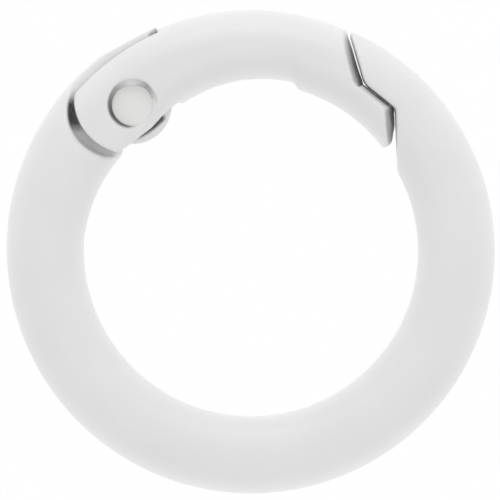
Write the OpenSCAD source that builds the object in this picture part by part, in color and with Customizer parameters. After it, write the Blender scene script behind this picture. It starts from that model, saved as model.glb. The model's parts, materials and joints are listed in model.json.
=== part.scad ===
// Spring gate ring: a round snap ring of cast zinc whose gate swings
// inwards on a riveted hinge and is closed by a small torsion spring.
//
// Frame: the ring lies flat on z = 0, its axis is Z through the origin,
// the hinge is at the upper left and the mouth at the upper right.
// Angles are measured from +X, anticlockwise seen from above.
// All lengths are millimetres.

/* [Ring] */
// Outside diameter of the ring
ring_od = 24.5; // [22:0.1:30]
// Diameter of the ring's round section
section_d = 3.9; // [3.6:0.05:4.2]
// How far the hook end leans in towards the eye
hook_lean = 0.22; // [0:0.02:0.4]
// How far the arc that thickens the ring near the hinge is shifted
swell_shift = 1.35; // [0.8:0.05:1.6]

/* [Mouth] */
// Direction of the hook's tip, seen from the ring's centre
tip_angle = 55.6; // [52:0.2:58]
// How far the tip lies inside the middle of the section
tip_inset = 0.33; // [0.1:0.01:0.5]
// Direction of the corner where the hook's underside meets the seat wall
seat_angle = 44.3; // [42:0.1:46]
// How far that corner lies inside the middle of the section
seat_inset = 0.28; // [0.1:0.01:0.4]
// Lean of the hook's end face from the Y axis
hook_face_lean = 16.2; // [12:0.1:22]
// Extra lean of the gate's end face, so that the mouth opens outwards
gate_face_extra = 0.3; // [0:0.1:5]
// Lean of the seat wall from the Y axis, away from the lip
seat_lean = 2.4; // [0:0.2:5]
// Length by which the hook's tip is cut short along both its faces
tip_ease = 0.18; // [0.1:0.01:0.25]
// Slope of the hook's faces back from the parting plane
hook_draft = 2; // [0.5:0.5:4]
// Gap between the hook's end face and the gate, at the tip
mouth_gap = 0.05; // [0.03:0.01:0.15]
// Gap between the hook's underside and the gate's lip when shut
lip_gap = 0.03; // [0.03:0.01:0.15]
// Gap between the seat wall and the end of the lip
wall_gap = 0.075; // [0.05:0.005:0.3]

/* [Gate] */
// Thickness of the gate, along the ring's axis
gate_t = 3.8; // [3.6:0.05:3.9]
// How far the gate's outer edge lies inside the ring's outer edge
gate_inset = 0.42; // [0.3:0.05:0.6]
// How far the gate's outer edge is bowed out again at the top
gate_bow = 0.13; // [0:0.01:0.2]
// Half the width of the rounded edges of the gate's section
edge_round = 1.62; // [1.4:0.02:1.65]
// How far the slimmest place of the arm stands back from the eye
waist_relief = 0.255; // [0.1:0.005:0.35]
// Direction of that slimmest place
waist_angle = 70.4; // [65:0.1:75]
// Shift of the arc that thickens the arm towards the hinge
waist_shift = 1.65; // [1.2:0.01:1.8]
// How far the lip's inner edge stands into the eye
lip_proud = 0.045; // [0:0.005:0.1]
// Distance of the step behind the lip from the ring's middle plane
lip_step_x = 2.24; // [1.5:0.02:3]
// Radius of the lip's rounded chin
chin_r = 0.6; // [0.4:0.02:0.8]
// Length of the straight end of the lip
lip_end_h = 1.37; // [1:0.01:1.6]
// Rounding of the gate's outer corner at the mouth
gate_corner_r = 0.5; // [0.2:0.02:0.7]
// Rounding of the hook's outer corner at the mouth
hook_corner_r = 0.18; // [0.1:0.02:0.4]
// Slope of the gate's end faces back from the parting plane
end_draft = 13; // [9:0.5:16]
// Slope of the top of the lip
lip_draft = 8; // [4:0.5:9]

/* [Hinge] */
// Direction of the hinge, seen from the ring's centre
pin_angle = 129.4; // [125:0.2:135]
// How far the hinge lies inside the middle of the section
pin_inset = 0.99; // [0.8:0.01:1.1]
// Radius of the gate's rounded heel
heel_r = 2.79; // [2.6:0.01:2.9]
// How far the heel's centre lies outside the hinge axis
heel_out = 0.374; // [0.2:0.002:0.5]
// How far the heel's centre lies from the hinge towards the mouth
heel_along = 0.106; // [0:0.002:0.2]
// Gap round the heel, in the socket in the ring
socket_gap = 0.13; // [0.1:0.01:0.2]
// Radius of the hollow that widens the socket behind the heel
hollow_r = 2.3; // [2.2:0.02:2.4]
// How far the hollow's centre lies behind the heel's
hollow_back = 1; // [0.9:0.02:1.1]
// How much wider the socket is at the top than at its foot
socket_flare = 0.06; // [0:0.01:0.1]
// Distance of the cheeks' straight inner edge from the hinge axis
cheek_edge = 1.48; // [1.4:0.01:1.6]
// Direction square to that edge
cheek_edge_angle = 126.3; // [122:0.1:130]

/* [Tongue and slot] */
// Thickness of the tongue on the ring
tongue_t = 1.4; // [1.3:0.02:1.5]
// Play between the tongue and each cheek of the gate
side_play = 0.05; // [0.03:0.01:0.1]
// Radius of the tongue's round end
tongue_r = 1.95; // [1.85:0.01:2]
// Gap between the tongue and the end of the slot
slot_gap = 0.34; // [0.25:0.01:0.5]
// Direction in which the slot's end faces the hinge
slot_angle = 17.5; // [14:0.5:21]
// Length of the tongue's straight side, up to its bevelled tip
tongue_side = 3.07; // [2.8:0.01:3.2]
// Width of the top of the bevel, up to the outer edge
tip_w = 0.28; // [0.1:0.02:0.4]
// Direction in which that top runs
tip_cut_angle = 141; // [130:1:160]
// Slope of the bevel back from the parting plane
tip_draft = 30; // [15:1:40]
// Gap between the tip and the end of the slot
tip_gap = 0.05; // [0.03:0.01:0.1]

/* [Rivet] */
// Diameter of the rivet's shank
shank_d = 1.3; // [1.1:0.02:1.4]
// Diameter of its two heads
head_d = 2.11; // [1.9:0.01:2.3]
// Thickness of each head
head_t = 0.28; // [0.2:0.01:0.35]
// Radius of the heads' crown
head_crown_r = 6; // [4:0.5:20]
// Thickness of the cheek under each head
cheek_web = 0.4; // [0.3:0.01:0.5]
// Play of the rivet in the cheeks
rivet_fit = 0.01; // [0.01:0.005:0.03]
// Play of the ring's tongue on the rivet
hinge_play = 0.05; // [0.03:0.01:0.08]
// Gap round each head in its recess
recess_gap = 0.24; // [0.15:0.01:0.3]

/* [Spring] */
// Diameter of the spring wire
wire_d = 0.22; // [0.16:0.01:0.24]
// Mean radius of the coil
coil_r = 1; // [0.95:0.01:1.05]
// Whole turns of the coil
coil_turns = 3; // [2:1:3]
// Gap between neighbouring turns
turn_gap = 0.015; // [0.01:0.005:0.02]
// Length of the leg that lies in the ring
ring_leg = 2.3; // [1.8:0.1:2.5]
// Depth to which the other leg enters the gate
leg_depth = 0.35; // [0.2:0.05:0.5]
// Play of the wire in its groove and hole
wire_play = 0.05; // [0.04:0.01:0.08]
// Thickness of the tongue left over the spring's pocket
pocket_web = 0.4; // [0.3:0.02:0.45]
// Radius of the spring's pocket
pocket_r = 1.3; // [1.25:0.01:1.4]
// How far the gate can swing, which the pocket leaves room for
gate_swing = 80; // [60:1:80]

/* [Hidden] */
$fn = 96;

eps = 0.01;
skin = 0.01; // a bar that runs into the next is this much slimmer
run_in = 0.8; // how many degrees it runs in
far = ring_od; // a length beyond the part, for cutters
section_r = section_d / 2;
outer_r = ring_od / 2;
inner_r = outer_r - section_d;
middle_r = outer_r - section_r;
gate_h = gate_t / 2;
tongue_h = tongue_t / 2;
slot_h = tongue_h + side_play;
lean_from = -29.5; // where the hook's arc leaves the ring's own arc
swell_from = 185; // where the ring starts to thicken towards the hinge
swell_blend = 174; // where the thickened bar takes over from the plain one

// A point at a distance and a direction from another
function polar(r, a, from = [0, 0]) = from + r * [cos(a), sin(a)];
// Direction from one point to another
function bearing(p, q) = atan2(q[1] - p[1], q[0] - p[0]);
// One of the two points where two circles cross: side = 1 is the left one
// seen from the first centre, side = -1 the right one
function meet(c1, r1, c2, r2, side) =
    let (d = norm(c2 - c1), a = acos((d * d + r1 * r1 - r2 * r2) / (2 * d * r1)))
    polar(r1, bearing(c1, c2) + side * a, c1);

// The point at a distance to the right of each of two lines through a point
function mitre(p, a, to_a, b, to_b) =
    p + (to_b * [cos(a), sin(a)] - to_a * [cos(b), sin(b)]) / sin(b - a);
// A point on the way from one point to another
function towards(p, q, d) = p + d * (q - p) / norm(q - p);

// The centre of a rounding that lies a depth inside both a circle and the
// line from a point in a direction; the part is to the line's left
// (side = 1) or right (side = -1)
function corner_centre(c, c_r, p, direction, depth, side) =
    let (q = polar(depth, direction + side * 90, p), b = (q - c) * [cos(direction), sin(direction)],
        h = norm(q - c), s = -b + sqrt(b * b - h * h + (c_r - depth) * (c_r - depth)))
    polar(s, direction, q);

// Hinge axis and the gate's rounded heel
pin = polar(middle_r - pin_inset, pin_angle);
heel = polar(heel_along, pin_angle - 90, polar(heel_out, pin_angle, pin));
heel_angle = bearing([0, 0], heel);
gate_outer_r = outer_r - gate_inset;
gate_centre = [0, gate_bow];
waist_centre = polar(waist_shift, waist_angle);
waist_r = inner_r + waist_relief - waist_shift;
swell_centre = polar(swell_shift, swell_from);
swell_r = inner_r - swell_shift;
hollow_centre = polar(hollow_back, pin_angle + 90, heel);
hollow_foot = meet(hollow_centre, hollow_r, swell_centre, swell_r, -1);
cheek_edge_reach = 2; // how far that edge runs towards the mouth
side_top = polar(tongue_side, slot_angle + 90, polar(tongue_r, slot_angle, pin));
tip = polar(tip_w, tip_cut_angle, side_top);

// Mouth: the hook's tip, the corner of its seat, and the lip that fits it
hook_tip = polar(middle_r - tip_inset, tip_angle);
seat = polar(middle_r - seat_inset, seat_angle);
under_slope = bearing(seat, hook_tip) - 180;
mouth_reach = 1.35 * section_d; // past the ring's edge from the hook's tip
mouth_w = 0.65 * section_d; // how far a cutter reaches away from its face
gate_from = 72; // where the gate's place starts for the straight cutters
function lip_y(x) = seat[1] + (seat[0] - x) * tan(-under_slope) - lip_gap / cos(under_slope);
lip_x = seat[0] - wall_gap;
lip_top = [lip_x, lip_y(lip_x)];
lip_root = [hook_tip[0] - mouth_gap, lip_y(hook_tip[0] - mouth_gap)];
lean_centre = polar(hook_lean, lean_from);
gate_face_angle = 90 + hook_face_lean + gate_face_extra;
chin = [lip_x - chin_r + 2 * skin, lip_top[1] - lip_end_h];
tip_land = tongue_r / 2; // how far the tip's full width runs back along the side

// Rivet
head_foot = slot_h + cheek_web; // the heads sit on the cheeks here
head_top = head_foot + head_t;

// Spring: heights are from the ring's middle plane
pitch = wire_d + turn_gap;
pocket_top = tongue_h - pocket_web;
gate_leg_angle = slot_angle + 90; // where the coil ends, square to its leg
coil_sweep = 360 * coil_turns + pin_angle - gate_leg_angle;
coil_top = pocket_top - wire_play - wire_d / 2;
coil_foot = coil_top - pitch * coil_sweep / 360;
slot_end = tongue_r + slot_gap;
leg_hole_r = wire_d / 2 + wire_play;
coil_steps = 24 * coil_turns;
wire_sides = 8;

// ---- Shared shapes ----

// The space between two directions
module wedge(a0, a1) {
    linear_extrude(2 * far, center = true)
        polygon([[0, 0], polar(far, a0), polar(far, (a0 + a1) / 2), polar(far, a1)]);
}

// Half of a bar, turned about a centre: its section is rounded at one edge
// and flat-topped past it. side = 1 rounds the outer edge, -1 the inner one.
module rounded_band(centre, edge_r, round_w, half_t, side, a0, a1) {
    core = edge_r - side * round_w;
    translate(centre) rotate(a0) rotate_extrude(angle = a1 - a0) {
        translate([core, 0]) scale([round_w / half_t, 1]) circle(half_t);
        translate([side > 0 ? core - section_d : core, -half_t]) square([section_d, 2 * half_t]);
    }
}

// A round bar along an arc
module round_bar(centre, r, a0, a1) {
    translate(centre) rotate(a0) rotate_extrude(angle = a1 - a0)
        translate([middle_r - norm(centre), 0]) circle(r);
}

// A cutter over a region of the plan, on both sides of the middle plane,
// that starts at a height and reaches out of the part
module both_sides(from_z) {
    for (s = [0, 1]) mirror([0, 0, s]) translate([0, 0, from_z]) linear_extrude(section_r) children();
}

// What rounding a corner between a circle and a straight face takes away
module corner_cut(c, c_r, p, direction, r, side) {
    centre = corner_centre(c, c_r, p, direction, r - skin, side);
    past = 4 * r; // beyond the corner
    off_face = polar(past, direction - side * 90, centre);
    off_arc = polar(past, bearing(c, centre), centre);
    linear_extrude(2 * section_d, center = true) difference() {
        polygon([centre, off_face, off_face + off_arc - centre, off_arc]);
        translate(centre) circle(r);
    }
}

// A cutter over an outline given anticlockwise. It widens from the middle
// plane to both sides, each edge of the outline at its own slope.
module leaning_cut(outline, slopes) {
    n = len(outline);
    height = 1.1 * section_r;
    heading = [for (i = [0 : n - 1]) bearing(outline[i], outline[(i + 1) % n])];
    out = [for (slope = slopes) height * tan(slope)];
    wide = [for (i = [0 : n - 1]) let (j = (i + n - 1) % n)
        mitre(outline[i], heading[j], out[j], heading[i], out[i])];
    points = concat(
        [for (p = wide) concat(p, -height)],
        [for (p = outline) concat(p, 0)],
        [for (p = wide) concat(p, height)]
    );
    walls = [for (i = [0 : n - 1]) for (k = [0, n]) let (j = (i + 1) % n)
        [k + i, k + i + n, k + j + n, k + j]];
    ends = [[for (i = [0 : n - 1]) i], [for (i = [n - 1 : -1 : 0]) i + 2 * n]];
    polyhedron(points, concat(walls, ends));
}

// ---- Ring body ----

// The plain ring, the hook that leans in from it, the swell that thickens
// it towards the hinge, and the tongue's round end
module ring_blank() {
    from = pin_angle - 40;
    to = swell_blend + 20;
    round_bar([0, 0], section_r - skin, swell_blend - run_in, 360 + lean_from);
    round_bar(lean_centre, section_r - 2 * skin, lean_from - run_in, seat_angle + 30);
    intersection() {
        rounded_band([0, 0], outer_r, section_r, section_r, 1, from, to);
        rounded_band(swell_centre, swell_r, section_r, section_r, -1, from, to);
        wedge(pin_angle - 30, swell_blend);
    }
    translate([pin[0], pin[1], -tongue_h]) cylinder(r = tongue_r, h = tongue_t);
}

// The mouth: from the foot of the seat wall, round the seat and the hook's
// tip, to the outside and back through the eye
module mouth() {
    wall_foot = polar(section_d, seat_lean - 90, seat);
    face_end = polar(mouth_reach, 90 + hook_face_lean, hook_tip);
    outside = polar(mouth_w, 180 + hook_face_lean, face_end);
    leaning_cut(
        [wall_foot, seat, towards(hook_tip, seat, tip_ease), towards(hook_tip, face_end, tip_ease),
            face_end, outside, [outside[0], hook_tip[1] - section_r / 2]],
        [hook_draft, hook_draft, hook_draft, hook_draft, 0, 0, 0]
    );
}

// What the ring gives way to beside the tongue: the gate's whole place
module gate_place() {
    polygon([[0, 0], polar(far, gate_from), polar(far, 90), polar(far, heel_angle)]);
}

// What it gives way to in the tongue's own layer
module tongue_surround() {
    side_foot = polar(tongue_r, slot_angle, pin);
    land_foot = polar(tongue_side - tip_land, slot_angle + 90, side_foot);
    land = polar(slot_gap - tip_gap, slot_angle, land_foot);
    edge = polar(outer_r, heel_angle) - tip;
    difference() {
        polygon([
            [0, 0], polar(inner_r / 2, bearing([0, 0], hollow_foot)), hollow_foot,
            polar(tongue_r, bearing(pin, hollow_foot), pin), pin, side_foot, land_foot, land,
            mitre(land, slot_angle + 90, 0, bearing(tip, tip + edge), norm(tip - land)), tip + 2 * edge,
            polar(far, 90), polar(far, gate_from)
        ]);
        translate(pin) circle(tongue_r);
    }
}

// The bevel of the tongue's tip, which narrows it to an edge
module tip_bevel() {
    lean = section_d * tan(tip_draft);
    base = polar(tongue_h * tan(tip_draft), tip_cut_angle - 90, side_top);
    translate(polar(-tip_land / 2, tip_cut_angle, base)) rotate([90, 0, tip_cut_angle + 90])
        mirror([1, 0, 0]) linear_extrude(section_r) polygon([
            [0, 0], [-lean, section_d], [section_d, section_d], [section_d, -section_d], [-lean, -section_d]
        ]);
}

// The flared wall behind the heel, on both sides of the tongue
module socket() {
    for (s = [0, 1]) mirror([0, 0, s]) translate([0, 0, tongue_h]) {
        translate(heel) flared(heel_r + socket_gap);
        translate(hollow_centre) flared(hollow_r);
    }
}

// A cutter that widens on its way up through the ring
module flared(r) {
    over = 1.3; // of the wall's height, to come out above it
    cylinder(r1 = r, r2 = r + over * socket_flare, h = over * (section_r - tongue_h));
}

// The spring's pocket, open towards the gate over its whole swing, and the
// groove for the leg that holds on to the ring
module spring_room() {
    foot = -tongue_h - side_play / 2;
    leg_x = coil_r + leg_hole_r + wire_play;
    translate([pin[0], pin[1], foot]) {
        cylinder(r = pocket_r, h = pocket_top - foot);
        rotate(slot_angle) linear_extrude(pocket_top - foot) polygon([
            [0, leg_x], [slot_end, leg_x], polar(slot_end + coil_r, -gate_swing / 3),
            polar(slot_end + coil_r, -gate_swing), [0, 0]
        ]);
        rotate(pin_angle) translate([coil_r - leg_hole_r, 0, 0])
            cube([2 * leg_hole_r, ring_leg + wire_play, coil_foot + leg_hole_r - foot]);
    }
}

module ring_body() {
    color("white") difference() {
        ring_blank();
        both_sides(tongue_h) gate_place();
        socket();
        linear_extrude(tongue_t + 2 * eps, center = true) tongue_surround();
        mouth();
        tip_bevel();
        spring_room();
        corner_cut(lean_centre, outer_r - hook_lean - 2 * skin, hook_tip, 90 + hook_face_lean,
            hook_corner_r, -1);
        translate([pin[0], pin[1], -section_r]) cylinder(r = shank_d / 2 + hinge_play, h = section_d);
    }
}

// ---- Gate ----

// The gate as a bar: its lip follows the eye, its arm stands back from it
module gate_blank() {
    reach = 120; // directions that hold the whole gate
    intersection() {
        rounded_band(gate_centre, gate_outer_r, edge_round, gate_h, 1, 30, 30 + reach);
        union() {
            intersection() {
                rounded_band(waist_centre, waist_r, edge_round, gate_h, -1, 30, 40 + reach);
                translate([lip_step_x - far + skin, -far, -far]) cube([far, 2 * far, 2 * far]);
            }
            intersection() {
                rounded_band([0, 0], inner_r - lip_proud, edge_round, gate_h, -1, 30, 90);
                translate([lip_step_x, -far, -far]) cube([far, 2 * far, 2 * far]);
            }
        }
    }
}

// The gate seen from above, before its end faces are cut
module gate_plan() {
    polygon([
        [chin[0], chin[1] - chin_r], chin, [chin[0] + section_d, chin[1]], [chin[0] + section_d, far],
        polar(far, heel_angle), [0, 0], [chin[0] / 2, chin[1] - chin_r]
    ]);
    translate(chin) circle(chin_r);
    translate(heel) circle(heel_r);
}

// What the gate gives way to for the hook: past the end of the lip, over
// its top and past the end face
module hook_place() {
    foot = [lip_x, chin[1] - section_r];
    face_end = polar(mouth_reach, gate_face_angle, lip_root);
    beyond = chin[0] + 2 * section_d;
    leaning_cut(
        [foot, [beyond, foot[1]], [beyond, face_end[1]], face_end, lip_root, lip_top],
        [0, 0, 0, end_draft, lip_draft, end_draft]
    );
}

module gate() {
    color("white") difference() {
        intersection() {
            gate_blank();
            linear_extrude(2 * gate_t, center = true) gate_plan();
        }
        hook_place();
        corner_cut(gate_centre, gate_outer_r, lip_root, gate_face_angle, gate_corner_r, 1);
        // slot for the tongue
        translate([pin[0], pin[1], -slot_h]) rotate(slot_angle)
            translate([slot_end - far / 2, -far / 4, 0]) cube([far / 2, far / 2, 2 * slot_h]);
        // straight inner edge of the cheeks
        translate([pin[0], pin[1], -section_r]) rotate(cheek_edge_angle)
            translate([-cheek_edge - section_d, -cheek_edge_reach, 0])
                cube([section_d, cheek_edge_reach + section_d, section_d]);
        // bore and head recesses
        translate([pin[0], pin[1], -section_r]) cylinder(r = shank_d / 2 + rivet_fit, h = section_d);
        both_sides(head_foot) translate(pin) circle(head_d / 2 + recess_gap);
        // hole for the spring's leg
        translate([pin[0], pin[1], coil_top]) rotate(slot_angle) translate([slot_end - eps, coil_r, 0])
            rotate([0, 90, 0]) cylinder(r = leg_hole_r, h = leg_depth + wire_play);
    }
}

// ---- Rivet ----

module hinge_rivet() {
    color("gainsboro") translate(pin) rotate_extrude() {
        translate([0, -head_foot]) square([shank_d / 2, 2 * head_foot]);
        for (s = [0, 1]) mirror([0, s]) intersection() {
            translate([0, head_foot]) square([head_d / 2, head_t]);
            translate([0, head_top - head_crown_r]) circle(head_crown_r);
        }
    }
}

// ---- Spring ----

// The leg in the ring, the coil, which climbs clockwise, and the leg in
// the gate, all on one line about the hinge axis
module torsion_spring() {
    step = coil_sweep / coil_steps;
    start = polar(coil_r, pin_angle);
    finish = polar(coil_r, gate_leg_angle);
    line = concat(
        [for (k = [1, 0.5]) concat(polar(k * ring_leg, pin_angle + 90, start), coil_foot)],
        [for (i = [0 : coil_steps]) concat(
            polar(coil_r, pin_angle - i * step), coil_foot + (coil_top - coil_foot) * i / coil_steps)],
        [for (k = [0.5, 1]) concat(polar(k * (slot_end + leg_depth), slot_angle, finish), coil_top)]
    );
    color("silver") translate(pin) wire(line);
}

// A round wire along a line of points that stays nearly level
module wire(line) {
    last = len(line) - 1;
    rings = [for (i = [0 : last]) let (
        along = line[min(i + 1, last)] - line[max(i - 1, 0)],
        t = along / norm(along),
        across = [t[1], -t[0], 0] / norm([t[0], t[1]]),
        up = cross(across, t)
    ) for (k = [0 : wire_sides - 1]) let (a = 360 * k / wire_sides)
        line[i] + wire_d / 2 * (cos(a) * across + sin(a) * up)];
    walls = [for (i = [0 : last - 1]) for (k = [0 : wire_sides - 1]) let (
        n = (k + 1) % wire_sides, a = i * wire_sides, b = a + wire_sides
    ) [a + k, a + n, b + n, b + k]];
    ends = [
        [for (k = [wire_sides - 1 : -1 : 0]) k],
        [for (k = [0 : wire_sides - 1]) last * wire_sides + k]
    ];
    polyhedron(rings, concat(walls, ends));
}

// ---- The part ----

translate_up = [0, 0, section_r]; // the ring lies on z = 0

translate(translate_up) ring_body();
translate(translate_up) gate();
translate(translate_up) hinge_rivet();
translate(translate_up) torsion_spring();
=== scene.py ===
"""Looks of a round spring gate ring: painted castings, a sunk rivet and a torsion spring.

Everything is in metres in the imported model's own frame. The ring lies flat on z = 0 with its
axis along Z through the origin; the hinge is at the upper left and the mouth at the upper right.
Sizes in the classes are in millimetres, and directions in degrees, anticlockwise from +X.
"""

import json
import logging
import math
from dataclasses import dataclass, field
from enum import Enum

import bmesh
import bpy
import numpy as np
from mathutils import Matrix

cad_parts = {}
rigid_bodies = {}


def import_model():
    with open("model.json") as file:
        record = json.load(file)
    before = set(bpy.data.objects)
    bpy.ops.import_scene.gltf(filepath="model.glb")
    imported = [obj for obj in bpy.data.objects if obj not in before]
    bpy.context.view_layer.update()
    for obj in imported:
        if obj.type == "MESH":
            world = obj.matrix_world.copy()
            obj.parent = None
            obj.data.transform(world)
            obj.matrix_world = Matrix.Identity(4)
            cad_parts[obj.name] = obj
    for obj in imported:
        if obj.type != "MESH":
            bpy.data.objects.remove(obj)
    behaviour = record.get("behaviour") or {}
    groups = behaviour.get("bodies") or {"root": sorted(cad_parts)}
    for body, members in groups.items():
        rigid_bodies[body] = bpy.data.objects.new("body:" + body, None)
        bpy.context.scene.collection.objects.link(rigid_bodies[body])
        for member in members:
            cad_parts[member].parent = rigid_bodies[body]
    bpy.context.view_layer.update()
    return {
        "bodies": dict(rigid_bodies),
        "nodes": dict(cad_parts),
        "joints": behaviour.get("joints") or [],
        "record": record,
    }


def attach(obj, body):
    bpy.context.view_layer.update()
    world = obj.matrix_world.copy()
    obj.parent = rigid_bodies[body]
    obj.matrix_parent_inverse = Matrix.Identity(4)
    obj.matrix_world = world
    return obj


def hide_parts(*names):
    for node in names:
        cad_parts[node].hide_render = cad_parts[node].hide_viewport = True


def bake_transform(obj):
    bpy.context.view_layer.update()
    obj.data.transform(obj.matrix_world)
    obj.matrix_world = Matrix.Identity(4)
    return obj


LOG = logging.getLogger("spring_gate_ring")
MM = 0.001
WHITE = (1.0, 1.0, 1.0, 1.0)
PULL = 0.5  # share of the way to its neighbours' mean that a point moves in one pass

Array = np.ndarray
Pair = tuple[float, float]
Row = tuple[float, ...]
Rgb = tuple[float, float, float]
Socket = bpy.types.NodeSocket
Material = bpy.types.Material
Object = bpy.types.Object


class Slot(Enum):
    """The record's material slots."""

    RING = "ring_paint"
    GATE = "gate_paint"
    RIVET = "rivet_paint"
    SPRING = "spring_steel"


def polar(radius: float, degrees: float, centre: Array | None = None) -> Array:
    """A point at a radius and a direction from a centre.

    Args:
        radius: Distance from the centre.
        degrees: Direction, anticlockwise from +X.
        centre: The centre, or None for the origin.

    Returns:
        The point as an array (x, y).
    """
    angle = math.radians(degrees)
    start = np.zeros(2) if centre is None else centre
    return start + radius * np.array([math.cos(angle), math.sin(angle)])


def seen_from(centre: Array | Pair, points: Array) -> tuple[Array, Array]:
    """Distance and direction, from 0 to 360 degrees, of each point in plan from a centre."""
    x, y = (points[:, :2] - np.array(centre)).T
    return np.hypot(x, y), np.degrees(np.arctan2(y, x)) % 360.0


def smoothstep(values: Array, low: float | Array, high: float | Array) -> Array:
    """3t^2 - 2t^3 of where each value lies between low, 0, and high, 1."""
    t = np.clip((values - low) / (high - low), 0.0, 1.0)
    return t * t * (3.0 - 2.0 * t)


@dataclass(frozen=True)
class Span:
    """A stretch of a value over which something sets in or dies away.

    Attributes:
        low: Where it starts.
        high: Where it is complete.
        share: How strong it is there.
    """

    low: float
    high: float
    share: float = 1.0

    def rise(self, values: Array) -> Array:
        """0 below the span, the share above it and a smooth step between."""
        return self.share * smoothstep(values, self.low, self.high)

    def fall(self, values: Array) -> Array:
        """1 below the span, 1 less the share above it and a smooth step between."""
        return 1.0 - self.rise(values)


WHOLE = Span(0.0, 1.0)


# ---- Meshes ----


@dataclass
class Surface:
    """A mesh as arrays: its points, and its faces as rows of four corners.

    Attributes:
        points: Positions, one row each, in metres.
        quads: Corner numbers, one row for each face.
    """

    points: Array
    quads: Array

    def to_object(self, name: str) -> Object:
        """Puts the arrays into a new smooth-shaded object at the origin.

        Args:
            name: The object's name.

        Returns:
            The object, linked to the scene.
        """
        mesh = bpy.data.meshes.new(name)
        mesh.from_pydata(self.points.tolist(), [], self.quads.tolist())
        mesh.shade_smooth()
        obj = bpy.data.objects.new(name, mesh)
        bpy.context.scene.collection.objects.link(obj)
        return obj


def tube_quads(rows: int, columns: int) -> Array:
    """The faces of a tube of points, numbered row by row; each row is a closed ring.

    Args:
        rows: How many rings there are.
        columns: How many points each ring has.

    Returns:
        Corner numbers, one row for each face.
    """
    here = np.arange(rows - 1)[:, None] * columns
    column = np.arange(columns)[None, :]
    beside = (column + 1) % columns
    there = here + columns
    corners = [here + column, here + beside, there + beside, there + column]
    return np.stack(corners, -1).reshape(-1, 4)


def relax(points: Array, edges: Array, passes: int, push: float = 0.0) -> Array:
    """Evens out a mesh: each point moves towards the mean of its neighbours, then partly back.

    A pull alone rounds every edge and shrinks the shape; a push of about the same size after
    it takes out small ripples and keeps the size.

    Args:
        points: Positions, one row each.
        edges: Pairs of point numbers.
        passes: How many times a pull and a push are made.
        push: Share of the way back, 0 for none.

    Returns:
        The new positions.
    """
    count = len(points)
    here, there = np.concatenate([edges, edges[:, ::-1]]).T
    neighbours = np.maximum(np.bincount(here, minlength=count), 1)[:, None]
    steps = [PULL, -push] if push else [PULL]
    for step in steps * passes:
        sums = [np.bincount(here, weights=column[there], minlength=count) for column in points.T]
        points = points + step * (np.stack(sums, -1) / neighbours - points)
    return points


def soften(points: Array, edges: Array, share: Array, passes: int) -> Array:
    """Rounds a mesh in places.

    Args:
        points: Positions, one row each.
        edges: Pairs of point numbers.
        share: How strongly each point takes part, from 0 to 1.
        passes: How many times they are drawn to their neighbours.

    Returns:
        The new positions.
    """
    for _ in range(passes):
        points = points + share[:, None] * (relax(points, edges, 1) - points)
    return points


def mesh_arrays(mesh: bpy.types.Mesh) -> tuple[Array, Array]:
    """The positions and edges of a mesh.

    Args:
        mesh: The mesh.

    Returns:
        Positions in metres, one row each, and pairs of point numbers.
    """
    points = np.empty(3 * len(mesh.vertices), np.float32)
    mesh.vertices.foreach_get("co", points)
    edges = np.empty(2 * len(mesh.edges), np.int32)
    mesh.edges.foreach_get("vertices", edges)
    return points.reshape(-1, 3).astype(float), edges.reshape(-1, 2)


def add_field(obj: Object, name: str, values: Array) -> None:
    """Stores one number for each point, which a material reads by its name.

    Args:
        obj: The piece.
        name: Name of the attribute.
        values: One value for each point, from 0 to 1.
    """
    attribute = obj.data.attributes.new(name, "FLOAT", "POINT")
    attribute.data.foreach_set("value", np.clip(values, 0.0, 1.0).astype(np.float32))


# ---- Finishes ----


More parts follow.
